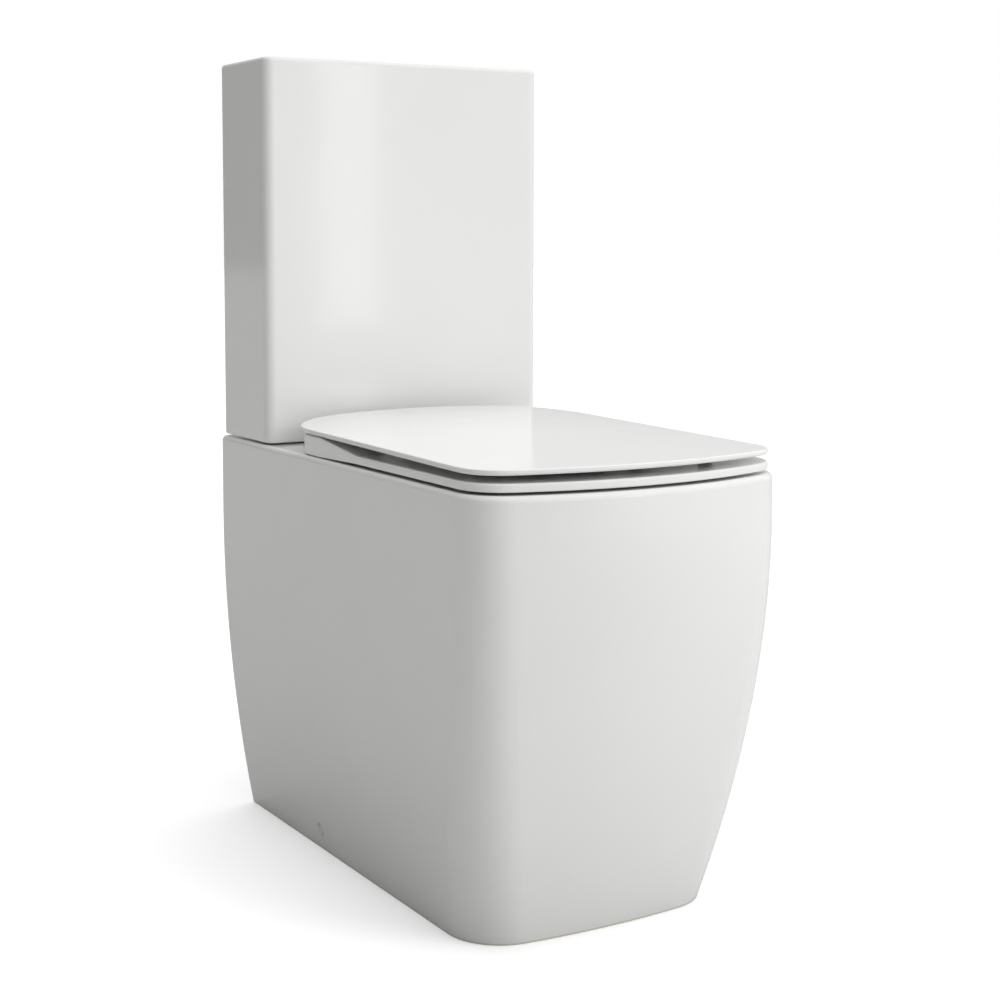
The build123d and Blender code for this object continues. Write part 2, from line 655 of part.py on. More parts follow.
# ---------------------------------------------------------------- push button
with BuildPart() as button_bezel:
    with BuildSketch(Plane.XY.offset(LID_TOP)):
        with Locations(*valve_place):
            Circle(BEZEL_RADIUS)
    extrude(amount=BEZEL_FLANGE)
    fillet(button_bezel.faces().sort_by(Axis.Z)[-1].edges(), 1.2)
    with BuildSketch(Plane.XY.offset(LID_TOP - BARREL_DEPTH)):
        with Locations(*valve_place):
            Circle(BARREL_RADIUS)
    extrude(amount=BARREL_DEPTH)
    with BuildSketch(Plane.XY.offset(CUP_TOP)):
        with Locations(*valve_place):
            Circle(BARREL_RADIUS - BARREL_WALL)
    extrude(amount=BARREL_DEPTH + OVER, mode=Mode.SUBTRACT)
    with BuildSketch(Plane.XY.offset(LID_TOP - BARREL_DEPTH)):
        for rod in (FULL_ROD, HALF_ROD):
            with Locations((rod[0], CISTERN_Y + rod[1])):
                Circle(ROD_RADIUS + ROD_CLEARANCE)
    extrude(amount=CUP_FLOOR, mode=Mode.SUBTRACT)
save(button_bezel, "button_bezel")
bezel_nut = hex_nuts(
    valve_place, LID_UNDER - BEZEL_NUT, LID_UNDER, BEZEL_NUT_RADIUS, BARREL_RADIUS
)
save(bezel_nut, "button_bezel_nut")


def button(rod, side):
    """One half of the split push button with its rod. side is -1 left, 1 right."""
    edge = BUTTON_SPLIT + side * BUTTON_GAP / 2
    reach = Align.MIN if side > 0 else Align.MAX
    radius = BARREL_RADIUS - BARREL_WALL - BUTTON_GAP
    with BuildPart() as made:
        with BuildSketch(Plane.XY.offset(BUTTON_TOP - BUTTON_THICKNESS)):
            with Locations(*valve_place):
                Circle(radius)
            with Locations((edge, CISTERN_Y)):
                Rectangle(3 * radius, 3 * radius, align=(reach, Align.CENTER), mode=Mode.INTERSECT)
        extrude(amount=BUTTON_THICKNESS)
        fillet(made.faces().sort_by(Axis.Z)[-1].edges(), 0.8)
        with BuildSketch(Plane.XY.offset(ROD_END + ROD_RADIUS)):
            with Locations((rod[0], CISTERN_Y + rod[1])):
                Circle(ROD_RADIUS)
        extrude(amount=BUTTON_TOP - BUTTON_THICKNESS - ROD_END - ROD_RADIUS)
        with Locations((rod[0], CISTERN_Y + rod[1], ROD_END + ROD_RADIUS)):
            Sphere(ROD_RADIUS)
    return made


def button_spring(rod):
    """The coil spring round a button's rod, between the cup's floor and the button."""
    length = BUTTON_TOP - BUTTON_THICKNESS - CUP_TOP - 2 * SPRING_WIRE
    place = (rod[0], CISTERN_Y + rod[1], CUP_TOP + SPRING_WIRE)
    with BuildPart() as made:
        with BuildLine(Plane(origin=place)) as path:
            Helix(length / SPRING_TURNS, length, SPRING_RADIUS)
        with BuildSketch(Plane(origin=path.line @ 0, z_dir=path.line % 0)):
            Circle(SPRING_WIRE)
        sweep(path=path.line, is_frenet=True)
    return made


save(button(FULL_ROD, -1), "full_flush_button")
save(button(HALF_ROD, 1), "half_flush_button")
save(button_spring(FULL_ROD), "full_button_spring")
save(button_spring(HALF_ROD), "half_button_spring")

# ---------------------------------------------------------------- fill valve
fill_place = [(FILL_X, CISTERN_Y)]
fill_flange = CISTERN_INSIDE + WASHER
arm_x = FILL_X + FILL_HEAD_RADIUS + 7
arm_z = FILL_RISER_TOP + FILL_HEAD - 8
arm_pin = 2.0
with BuildPart() as fill_valve_body:
    with BuildSketch(Plane.XY.offset(CISTERN_BOTTOM - FILL_TAIL_DROP)):
        with Locations(*fill_place):
            Circle(FILL_TAIL_RADIUS)
    extrude(amount=FILL_TAIL_DROP - FILL_NUT)
    with BuildSketch(Plane.XY.offset(CISTERN_BOTTOM - FILL_NUT)):
        with Locations(*fill_place):
            Circle(FILL_NECK_RADIUS)
    extrude(amount=fill_flange - CISTERN_BOTTOM + FILL_NUT)
    with BuildSketch(Plane.XY.offset(fill_flange)):
        with Locations(*fill_place):
            Circle(FILL_FLANGE_RADIUS)
    extrude(amount=5)
    with BuildSketch(Plane.XY.offset(fill_flange)):
        with Locations(*fill_place):
            Circle(FILL_RISER_RADIUS)
    extrude(amount=FILL_RISER_TOP - fill_flange)
    with BuildSketch(Plane.XY.offset(FILL_RISER_TOP)):
        with Locations(*fill_place):
            Circle(FILL_HEAD_RADIUS)
    extrude(amount=FILL_HEAD)
    fillet(fill_valve_body.edges().filter_by(GeomType.CIRCLE).group_by(Axis.Z)[-1], 2)
    with BuildSketch(Plane.XY.offset(arm_z - 5)):
        with Locations((arm_x + 5, CISTERN_Y)):
            Rectangle(18, 10, align=(Align.MAX, Align.CENTER))
    extrude(amount=10)
    with BuildSketch(Plane.XZ.offset(-CISTERN_Y)):
        with Locations((arm_x, arm_z)):
            Circle(arm_pin)
    extrude(amount=20, both=True, mode=Mode.SUBTRACT)
    # the waterway
    with BuildSketch(Plane.XY.offset(CISTERN_BOTTOM - FILL_TAIL_DROP)):
        with Locations(*fill_place):
            Circle(FILL_TAIL_RADIUS - 3)
    extrude(amount=FILL_RISER_TOP - CISTERN_BOTTOM + FILL_TAIL_DROP, mode=Mode.SUBTRACT)
save(fill_valve_body, "fill_valve_body")
fill_top = FILL_RISER_TOP + FILL_HEAD
with BuildPart() as fill_valve_cap:
    with BuildSketch(Plane.XY.offset(fill_top)):
        with Locations(*fill_place):
            Circle(FILL_HEAD_RADIUS - 3)
    extrude(amount=FILL_CAP)
    fillet(fill_valve_cap.faces().sort_by(Axis.Z)[-1].edges(), 3)
save(fill_valve_cap, "fill_valve_cap")
fill_washer = rings(
    fill_place, CISTERN_INSIDE, fill_flange, FILL_FLANGE_RADIUS, FILL_NECK_RADIUS
)
save(fill_washer, "fill_valve_washer")
save(
    hex_nuts(fill_place, CISTERN_BOTTOM - FILL_NUT, CISTERN_BOTTOM, FILL_NUT_RADIUS, FILL_NECK_RADIUS),
    "fill_valve_backnut",
)
with BuildPart() as float_arm_pin:
    with BuildSketch(Plane.XZ.offset(-CISTERN_Y)):
        with Locations((arm_x, arm_z)):
            Circle(arm_pin)
    extrude(amount=10, both=True)
save(float_arm_pin, "float_arm_pin")
float_x = arm_x + ARM_REACH - 14
with BuildPart() as float_arm:
    with BuildSketch(Plane.XZ.offset(-CISTERN_Y)):
        with Locations((arm_x - 5, arm_z)):
            Rectangle(ARM_REACH, 8, align=(Align.MIN, Align.CENTER))
        with Locations((arm_x, arm_z)):
            Circle(arm_pin + FIT, mode=Mode.SUBTRACT)
    extrude(amount=9, both=True)
    with BuildSketch(Plane.XY.offset(arm_z - 8)):
        with Locations((arm_x - 6, CISTERN_Y)):
            Rectangle(16, 11, align=(Align.MIN, Align.CENTER))
    extrude(amount=16, mode=Mode.SUBTRACT)
    with BuildSketch(Plane.XY.offset(arm_z - 4)):
        with Locations((float_x, CISTERN_Y)):
            Circle(4)
    extrude(amount=-22)
save(float_arm, "float_arm")
with BuildPart() as float_cup:
    with BuildSketch(Plane.XY.offset(arm_z - 26)):
        with Locations((float_x, CISTERN_Y)):
            RectangleRounded(FLOAT_SIZE[0], FLOAT_SIZE[1], 8)
    extrude(amount=-FLOAT_SIZE[2])
    fillet(float_cup.faces().sort_by(Axis.Z)[-1].edges(), 3)
save(float_cup, "float_cup")

# ---------------------------------------------------------------- seat hinges
plate_top = PAN_HEIGHT + PLATE_THICKNESS
with BuildPart() as hinge_base_plates:
    with BuildSketch(Plane.XY.offset(PAN_HEIGHT)):
        with Locations(*seat_places):
            Circle(PLATE_RADIUS)
            Circle(STUD_RADIUS, mode=Mode.SUBTRACT)
    extrude(amount=PLATE_THICKNESS)
    fillet(hinge_base_plates.edges().filter_by(
        lambda edge: edge.center().Z > plate_top - 0.1 and edge.length > 2 * math.pi * STUD_HOLE), 1.0)
save(hinge_base_plates, "hinge_base_plates")
with BuildPart() as hinge_posts:
    for side in MIRRORED:
        with BuildSketch(Plane.YZ.offset(side * seat_x)):
            with Locations((HINGE_Y, plate_top)):
                Rectangle(POST_DEPTH, HINGE_Z - plate_top, align=(Align.CENTER, Align.MIN))
            with Locations((HINGE_Y, HINGE_Z)):
                Circle(POST_TOP_RADIUS)
                Circle(HINGE_PIN_RADIUS, mode=Mode.SUBTRACT)
        extrude(amount=POST_WIDTH / 2, both=True)
save(hinge_posts, "hinge_posts")
with BuildPart() as hinge_pins:
    for side in MIRRORED:
        with BuildSketch(Plane.YZ.offset(side * seat_x)):
            with Locations((HINGE_Y, HINGE_Z)):
                Circle(HINGE_PIN_RADIUS)
        extrude(amount=POST_WIDTH / 2 + KNUCKLE_GAP + KNUCKLE_LENGTH, both=True)
save(hinge_pins, "hinge_pins")
with BuildPart() as hinge_studs:
    with BuildSketch(Plane.XY.offset(plate_top)):
        with Locations(*seat_places):
            Circle(STUD_RADIUS)
    extrude(amount=-STUD_DROP)
save(hinge_studs, "hinge_studs")
stud_washers = rings(
    seat_places, DECK_UNDER - WASHER, DECK_UNDER, STUD_WASHER_RADIUS, STUD_RADIUS
)
save(stud_washers, "hinge_rubber_washers")
save(wing_nuts(seat_places, DECK_UNDER - WASHER, WING_NUT, STUD_RADIUS), "hinge_wing_nuts")

# ---------------------------------------------------------------- seat ring
ring_under = PAN_HEIGHT + RING_LIFT
ring_top = ring_under + RING_THICKNESS
ring_rear = HINGE_Y - POST_DEPTH / 2 - 17
ring_plan = seat_outline(ring_rear, 40.0, 0.5)
ring_open_front = FRONT + SEAT_FRONT_INSET + RING_WIDTH
ring_open_length = ring_rear - RING_REAR_WIDTH - ring_open_front
ring_open_width = PAN_WIDTH - 2 * SEAT_INSET - 2 * RING_WIDTH
knuckle_start = seat_x + POST_WIDTH / 2 + KNUCKLE_GAP
with BuildPart() as seat_ring:
    # the ring's side view, thin in front and thick towards the hinge
    with BuildSketch(Plane.YZ) as side_view:
        with BuildLine():
            Polyline(
                (FRONT, ring_under),
                (RING_STEP_FRONT, ring_under),
                (RING_STEP_REAR, PAN_HEIGHT + RING_REAR_LIFT),
                (ring_rear + OVER, PAN_HEIGHT + RING_REAR_LIFT),
                (ring_rear + OVER, PAN_HEIGHT + RING_REAR_TOP),
                (RING_STEP_REAR, PAN_HEIGHT + RING_REAR_TOP),
                (RING_STEP_FRONT, ring_top),
                (FRONT, ring_top),
                close=True,
            )
        make_face()
        corners = side_view.vertices().filter_by_position(Axis.X, FRONT + OVER, RING_STEP_REAR + 1)
        fillet(corners, RING_BEND)
    extrude(amount=PAN_WIDTH, both=True)
    with BuildSketch(Plane.XY.offset(PAN_HEIGHT)):
        add(ring_plan)
        with Locations((0, ring_open_front + ring_open_length / 2)):
            RectangleRounded(ring_open_width, ring_open_length, 92.0, mode=Mode.SUBTRACT)
    extrude(amount=60, mode=Mode.INTERSECT)
    upper = seat_ring.faces().filter_by(lambda face: face.normal_at().Z > 0.5)
    under = seat_ring.faces().filter_by(lambda face: face.normal_at().Z < -0.5)
    fillet(edges_round(upper) + edges_round(under), RING_ROUND)
    # two knuckles reach back to the hinge line
    for side in MIRRORED:
        with BuildSketch(Plane.YZ.offset(side * knuckle_start)):
            with Locations((HINGE_Y, HINGE_Z)):
                Circle(RING_KNUCKLE_RADIUS)
            with Locations((HINGE_Y, HINGE_Z)):
                Rectangle(HINGE_Y - ring_rear + 4, 10, align=(Align.MAX, Align.CENTER))
        extrude(amount=side * KNUCKLE_LENGTH)
        with BuildSketch(Plane.YZ.offset(side * knuckle_start)):
            with Locations((HINGE_Y, HINGE_Z)):
                Circle(RING_BUSH_RADIUS)
        extrude(amount=side * KNUCKLE_LENGTH, mode=Mode.SUBTRACT)
save(seat_ring, "seat_ring")


def sleeves(start, length, outer):
    """A sleeve on each hinge pin, running from start for length."""
    with BuildPart() as made:
        for side in MIRRORED:
            with BuildSketch(Plane.YZ.offset(side * start)):
                with Locations((HINGE_Y, HINGE_Z)):
                    Circle(outer)
                    Circle(HINGE_PIN_RADIUS + FIT, mode=Mode.SUBTRACT)
            extrude(amount=side * length)
    return made


save(sleeves(knuckle_start, KNUCKLE_LENGTH, RING_BUSH_RADIUS), "seat_ring_bushes")
buffer_x = (PAN_WIDTH - 2 * SEAT_INSET - RING_WIDTH) / 2
buffer_places = [(side * buffer_x, y) for side in MIRRORED for y in (-60.0, -190.0)]
with BuildPart() as seat_ring_buffers:
    with BuildSketch(Plane.XY.offset(PAN_HEIGHT + RUNNING_GAP)):
        with Locations(*buffer_places):
            SlotOverall(30, 10, rotation=90)
    extrude(amount=RING_LIFT - RUNNING_GAP)
save(seat_ring_buffers, "seat_ring_buffers")

# ---------------------------------------------------------------- seat cover
cover_rear = HINGE_Y + COVER_OVERHANG
cover_plan = seat_outline(cover_rear, COVER_REAR_CORNER, COVER_REAR_BOW)
cover_half = PAN_WIDTH / 2


def cover_end(y, crown):
    """The cover's cross-section at one end of its length: a thin slab with a crowned top."""
    low = PAN_HEIGHT + COVER_LIFT + COVER_SLOPE * (y - FRONT)
    high = low + COVER_THICKNESS
    with BuildSketch(Plane.XZ.offset(-y)) as end:
        with BuildLine():
            under = ThreePointArc((-cover_half, low), (0, low + crown), (cover_half, low))
            right = Line(under @ 1, (cover_half, high))
            top = ThreePointArc(right @ 1, (0, high + crown), (-cover_half, high))
            Line(top @ 1, under @ 0)
        make_face()
    return end.sketch


front_end = cover_end(FRONT, COVER_FRONT_CROWN)
rear_end = cover_end(cover_rear + OVER, COVER_REAR_CROWN)
with BuildPart() as cover_panel:
    add(front_end)
    add(rear_end)
    loft(ruled=True)
    with BuildSketch(Plane.XY.offset(PAN_HEIGHT)):
        add(cover_plan)
    extrude(amount=80, mode=Mode.INTERSECT)
    # round the top edge and bevel the lower edge, each found on one of the two broad faces
    broad = cover_panel.faces().sort_by(SortBy.AREA)[-2:]
    fillet(broad.sort_by(Axis.Z)[-1].edges(), COVER_ROUND)
    broad = cover_panel.faces().sort_by(SortBy.AREA)[-2:]
    chamfer(broad.sort_by(Axis.Z)[0].edges(), COVER_BEVEL)

inner_knuckle = seat_x - POST_WIDTH / 2 - KNUCKLE_GAP - KNUCKLE_LENGTH
with BuildPart() as cover_knuckles:
    for side in MIRRORED:
        with BuildSketch(Plane.YZ.offset(side * inner_knuckle)):
            with Locations((HINGE_Y, HINGE_Z)):
                Circle(COVER_KNUCKLE_RADIUS)
                Rectangle(12, 24, align=(Align.CENTER, Align.MIN))
        extrude(amount=side * KNUCKLE_LENGTH)
    above_panel = cover_panel.part.moved(Location((0, 0, COVER_THICKNESS * 0.6)))
    add(above_panel, mode=Mode.SUBTRACT)

knuckle_feet = cover_knuckles.part.solids().group_by(Axis.Z)[0]
with BuildPart() as seat_cover:
    add(cover_panel.part)
    add(knuckle_feet)
    for side in MIRRORED:
        with BuildSketch(Plane.YZ.offset(side * inner_knuckle)):
            with Locations((HINGE_Y, HINGE_Z)):
                Circle(DAMPER_RADIUS)
        extrude(amount=side * KNUCKLE_LENGTH, mode=Mode.SUBTRACT)
save(seat_cover, "seat_cover")
save(sleeves(inner_knuckle, KNUCKLE_LENGTH, DAMPER_RADIUS), "soft_close_dampers")

pad_places = [(side * (buffer_x - 8), y) for side in MIRRORED for y in (-75.0, -195.0)]
with BuildPart() as seat_cover_buffers:
    with BuildSketch(Plane.XY.offset(ring_top + RUNNING_GAP)):
        with Locations(*pad_places):
            SlotOverall(18, 8, rotation=90)
    extrude(amount=20)
    add(cover_panel.part, mode=Mode.SUBTRACT)
    above = seat_cover_buffers.part.solids().filter_by(
        lambda solid: solid.bounding_box().min.Z >= ring_top + 2 * RUNNING_GAP)
    for solid in above:
        add(solid, mode=Mode.SUBTRACT)
save(seat_cover_buffers, "seat_cover_buffers")

# ---------------------------------------------------------------- floor fixing
bracket_face = pad_face - BRACKET_THICKNESS
hole_x = bracket_face - BRACKET_LEG / 2
with BuildPart() as floor_brackets:
    for side in MIRRORED:
        with BuildSketch(Plane.XZ.offset(-FIXING_Y)):
            with BuildLine():
                Polyline(
                    (side * pad_face, 0),
                    (side * pad_face, BRACKET_HEIGHT),
                    (side * bracket_face, BRACKET_HEIGHT),
                    (side * bracket_face, BRACKET_THICKNESS),
                    (side * (bracket_face - BRACKET_LEG), BRACKET_THICKNESS),
                    (side * (bracket_face - BRACKET_LEG), 0),
                    close=True,
                )
            make_face()
        extrude(amount=BRACKET_WIDTH / 2, both=True)
    with BuildSketch():
        with Locations((-hole_x, FIXING_Y), (hole_x, FIXING_Y)):
            Circle(BRACKET_HOLE)
    extrude(amount=BRACKET_THICKNESS, mode=Mode.SUBTRACT)
    with BuildSketch(Plane.YZ):
        with Locations((FIXING_Y, FIXING_HEIGHT)):
            Circle(SCREW_RADIUS)
    extrude(amount=PAN_WIDTH, both=True, mode=Mode.SUBTRACT)
save(floor_brackets, "floor_brackets")

with BuildPart() as side_fixing_nuts:
    for side in MIRRORED:
        with BuildSketch(Plane.YZ.offset(side * bracket_face)):
            with Locations((FIXING_Y, FIXING_HEIGHT)):
                RegularPolygon(SIDE_NUT_RADIUS, 6)
                Circle(SCREW_RADIUS, mode=Mode.SUBTRACT)
        extrude(amount=-side * SIDE_NUT)
save(side_fixing_nuts, "side_fixing_nuts")

with BuildPart() as side_fixing_screws:
    for side in MIRRORED:
        with BuildSketch(Plane.YZ.offset(side * head_seat)):
            with Locations((FIXING_Y, FIXING_HEIGHT)):
                Circle(SCREW_RADIUS)
        extrude(amount=-side * (head_seat - bracket_face + 7))
        with BuildSketch(Plane.YZ.offset(side * head_seat)):
            with Locations((FIXING_Y, FIXING_HEIGHT)):
                Circle(SCREW_HEAD_RADIUS)
        extrude(amount=side * SCREW_HEAD)
save(side_fixing_screws, "side_fixing_screws")

with BuildPart() as side_fixing_caps:
    for side in MIRRORED:
        with BuildSketch(Plane.YZ.offset(side * cap_seat)):
            with Locations((FIXING_Y, FIXING_HEIGHT)):
                Circle(CAP_RADIUS)
        extrude(amount=side * CAP_THICKNESS)
    fillet(side_fixing_caps.edges().filter_by(lambda edge: abs(edge.center().X) > cap_seat + 1), 0.8)
save(side_fixing_caps, "side_fixing_caps")
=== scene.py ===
import math

import bmesh
import bpy
from bpy.props import FloatProperty, FloatVectorProperty, PointerProperty
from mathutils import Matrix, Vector


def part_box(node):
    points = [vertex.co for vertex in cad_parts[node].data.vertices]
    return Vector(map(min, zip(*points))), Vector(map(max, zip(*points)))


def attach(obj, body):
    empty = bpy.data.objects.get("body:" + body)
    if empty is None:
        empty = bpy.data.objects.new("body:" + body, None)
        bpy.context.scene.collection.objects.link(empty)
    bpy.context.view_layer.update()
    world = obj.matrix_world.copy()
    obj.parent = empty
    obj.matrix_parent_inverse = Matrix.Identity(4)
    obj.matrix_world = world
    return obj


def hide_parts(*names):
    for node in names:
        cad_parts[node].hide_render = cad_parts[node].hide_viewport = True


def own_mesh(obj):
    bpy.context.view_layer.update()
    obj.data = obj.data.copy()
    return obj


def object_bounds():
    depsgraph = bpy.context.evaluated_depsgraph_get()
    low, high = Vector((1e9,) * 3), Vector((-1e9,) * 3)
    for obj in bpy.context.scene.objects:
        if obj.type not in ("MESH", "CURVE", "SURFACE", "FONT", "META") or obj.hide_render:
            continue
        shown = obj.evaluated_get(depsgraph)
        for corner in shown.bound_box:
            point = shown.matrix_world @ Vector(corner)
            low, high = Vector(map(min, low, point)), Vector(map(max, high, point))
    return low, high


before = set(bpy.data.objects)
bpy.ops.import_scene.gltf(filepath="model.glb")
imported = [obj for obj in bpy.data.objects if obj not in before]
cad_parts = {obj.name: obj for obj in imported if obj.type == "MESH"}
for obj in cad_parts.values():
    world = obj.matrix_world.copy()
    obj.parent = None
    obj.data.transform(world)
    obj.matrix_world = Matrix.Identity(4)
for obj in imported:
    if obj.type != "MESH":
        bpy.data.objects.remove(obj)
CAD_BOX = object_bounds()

bl_info = {
    "name": "Close Coupled Toilet",
    "version": (1, 0, 0),
    "blender": (4, 5, 0),
    "location": "View3D > Sidebar > Toilet",
    "description": "Finishes and stages a close coupled toilet with a soft close seat",
    "category": "Object",
}

MM = 0.001

MOTTLE_STOPS = (0.3, 0.7)           # where a noise starts and stops changing the colour
BRUSHED_STOPS = (0.35, 0.65)

SPRING_WIRE_RADIUS = 0.5 * MM
SPRING_TURNS = 7
POINTS_PER_TURN = 20
SPRING_END_SHARE = 0.11             # length of wire, at each end, that lies nearly flat
SPRING_END_CLIMB = 0.12             # how steep that wire still is

FLOOR_BELOW = 0.2 * MM
BACKING_BELOW = 2.0 * MM
FLOOR_GLOW = 0.3
SHADE_SHARE = 0.1                   # light from the left of the room, beside that from the right
STRIP_SHARE = 0.035                 # power of the narrow strip, beside the key light
OVERHEAD_SPREAD = math.radians(70)

CAMERA_PLACE = Vector((-962.6, -1619.4, 669.7)) * MM
CAMERA_TURN = 0.5296                # to the right of straight at the front, in radians
CAMERA_DIP = math.radians(4.81)
CAMERA_SHIFT = (0.0232, -0.1155)


def linear(hex_colour):
    """An sRGB hex colour as linear red, green, blue and alpha."""
    parts = [int(hex_colour[i:i + 2], 16) / 255 for i in (1, 3, 5)]
    return tuple(p / 12.92 if p <= 0.04045 else ((p + 0.055) / 1.055) ** 2.4 for p in parts) + (1.0,)


def put(tree, kind, values=(), links=(), **settings):
    """Adds one node, with its settings, its constant values and its links."""
    made = tree.nodes.new(kind)
    for name, value in settings.items():
        setattr(made, name, value)
    for socket, value in values:
        made.inputs[socket].default_value = value
    for socket, source in links:
        tree.links.new(source, made.inputs[socket])
    return made


def start_material(name, **shader_values):
    """A new material with a Principled shader set to these values."""
    material = bpy.data.materials.new(name)
    material.use_nodes = True
    tree = material.node_tree
    tree.nodes.clear()
    shader = put(tree, "ShaderNodeBsdfPrincipled")
    for socket, value in shader_values.items():
        shader.inputs[socket.replace("_", " ")].default_value = value
    put(tree, "ShaderNodeOutputMaterial", links=[("Surface", shader.outputs["BSDF"])])
    place = put(tree, "ShaderNodeTexCoord")
    return material, tree, shader, place.outputs["Object"]


def dimmed(colour, share):
    """The colour at this share of its brightness."""
    return tuple(share * c for c in colour[:3]) + (1.0,)


def grade(tree, shader, noise, low, high, stops, roughness):
    """Drives the colour, and the roughness if given, from a noise, between two values."""
    ramp = put(tree, "ShaderNodeValToRGB", links=[("Fac", noise.outputs["Fac"])])
    for stop, position, colour in zip(ramp.color_ramp.elements, stops, (low, high)):
        stop.position = position
        stop.color = colour
    tree.links.new(ramp.outputs["Color"], shader.inputs["Base Color"])
    if roughness:
        spread = put(
            tree, "ShaderNodeMapRange",
            [("To Min", roughness[0]), ("To Max", roughness[1])], [("Value", noise.outputs["Fac"])],
        )
        tree.links.new(spread.outputs["Result"], shader.inputs["Roughness"])
    return ramp


def mottle(tree, place, shader, low, high, size, detail=2.0, roughness=None):
    """Lets the colour, and the roughness if given, drift between two values over a size in metres."""
    noise = put(tree, "ShaderNodeTexNoise", [("Scale", 1 / size), ("Detail", detail)], [("Vector", place)])
    return grade(tree, shader, noise, low, high, MOTTLE_STOPS, roughness)


def relief(tree, place, shader, layers):
    """Bumps the surface by layers of (grain size, height), in metres, coarse to fine."""
    normal = None
    for size, height in layers:
        noise = put(tree, "ShaderNodeTexNoise", [("Scale", 1 / size), ("Detail", 1.0)], [("Vector", place)])
        links = [("Height", noise.outputs["Fac"])]
        if normal:
            links.append(("Normal", normal))
        bump = put(tree, "ShaderNodeBump", [("Distance", height), ("Strength", 1.0)], links)
        normal = bump.outputs["Normal"]
    tree.links.new(normal, shader.inputs["Normal"])


def dress(material, slot, *names):
    """Gives CAD nodes this material; the slot argument is not used."""
    for name in names:
        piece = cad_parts[name]
        piece.data.materials.clear()
        piece.data.materials.append(material)


class ToiletFinish(bpy.types.PropertyGroup):
    """The colours and surface sizes of the toilet's own materials."""

    glaze: FloatVectorProperty(
        name="Glaze", description="Colour of the fired glaze", subtype="COLOR", size=4,
        min=0.0, max=1.0, default=linear("#F2F2F0"),
    )
    glaze_wave: FloatProperty(
        name="Glaze wave", description="Distance between the soft swells of cast and glazed ware",
        subtype="DISTANCE", unit="LENGTH", min=0.01, default=90 * MM,
    )
    bare_foot: FloatProperty(
        name="Bare foot", description="Height of the unglazed edge that stands on the floor",
        subtype="DISTANCE", unit="LENGTH", min=0.0, default=1.2 * MM,
    )
    seat: FloatVectorProperty(
        name="Seat", description="Colour of the moulded seat", subtype="COLOR", size=4,
        min=0.0, max=1.0, default=linear("#F3F3F2"),
    )
    chrome: FloatVectorProperty(
        name="Chrome", description="Tint of the plated button", subtype="COLOR", size=4,
        min=0.0, max=1.0, default=linear("#D9DBDD"),
    )
    lever: FloatVectorProperty(
        name="Levers", description="Colour of the flush levers", subtype="COLOR", size=4,
        min=0.0, max=1.0, default=linear("#2C5AA8"),
    )


class ToiletStage(bpy.types.PropertyGroup):
    """The floor, the lights and the camera."""

    floor: FloatVectorProperty(
        name="Floor", description="Colour of the plain floor", subtype="COLOR", size=4,
        min=0.0, max=1.0, default=linear("#F5F5F5"),
    )
    backing: FloatVectorProperty(
        name="Backing", description="Colour of the floor's backing", subtype="COLOR", size=4,
        min=0.0, max=1.0, default=linear("#D0D0D0"),
    )
    floor_size: FloatProperty(
        name="Floor size", description="Side of the square floor", subtype="DISTANCE",
        unit="LENGTH", min=1.0, default=60.0,
    )
    fill: FloatProperty(
        name="Fill light", description="Strength of the soft light from the room", min=0.0, default=0.56,
    )
    key: FloatProperty(
        name="Key light", description="Power of the soft box in front", unit="POWER", min=0.0, default=48.0,
    )
    overhead: FloatProperty(
        name="Overhead light", description="Strength of the wide light from above", min=0.0, default=1.85,
    )
    lens: FloatProperty(
        name="Lens", description="Focal length in millimetres", min=10.0, default=64.616,
    )


class ToiletSettings(bpy.types.PropertyGroup):
    """Everything a user may change."""

    finish: PointerProperty(type=ToiletFinish)
    stage: PointerProperty(type=ToiletStage)


class TOILET_OT_china(bpy.types.Operator):
    """Glaze the pan, the cistern and the cistern's lid"""

    bl_idname = "toilet.china"
    bl_label = "China"

    def execute(self, context):
        look = context.scene.toilet.finish
        # Vitreous china, slip cast and spray glazed: a wet looking white skin over a slightly wavy body.
        material, tree, shader, place = start_material(
            "slip_cast_glazed_vitreous_china",
            Roughness=0.09, IOR=1.52, Coat_Weight=0.35, Coat_Roughness=0.03,
        )
        low = dimmed(look.glaze, 0.985)
        ramp = mottle(tree, place, shader, low, tuple(look.glaze), 140 * MM, roughness=(0.07, 0.13))
        # The foot is wiped clean of glaze before firing, so a thin matt cream line shows at the floor.
        height = put(tree, "ShaderNodeSeparateXYZ", links=[("Vector", place)])
        bare = put(
            tree, "ShaderNodeMapRange",
            [
                ("From Min", look.bare_foot), ("From Max", look.bare_foot * 2),
                ("To Min", 1.0), ("To Max", 0.0),
            ],
            [("Value", height.outputs["Z"])],
        )
        body = put(tree, "ShaderNodeMix", data_type="RGBA")
        # inputs of the colour mix: 0 is the factor, 6 and 7 are its two colours
        body.inputs[7].default_value = linear("#DDD5C6")
        tree.links.new(bare.outputs["Result"], body.inputs[0])
        tree.links.new(ramp.outputs["Color"], body.inputs[6])
        tree.links.new(body.outputs[2], shader.inputs["Base Color"])
        relief(tree, place, shader, [(look.glaze_wave, 0.22 * MM), (9 * MM, 0.006 * MM)])
        dress(material, "china", "pan", "cistern", "cistern_lid")
        return {"FINISHED"}


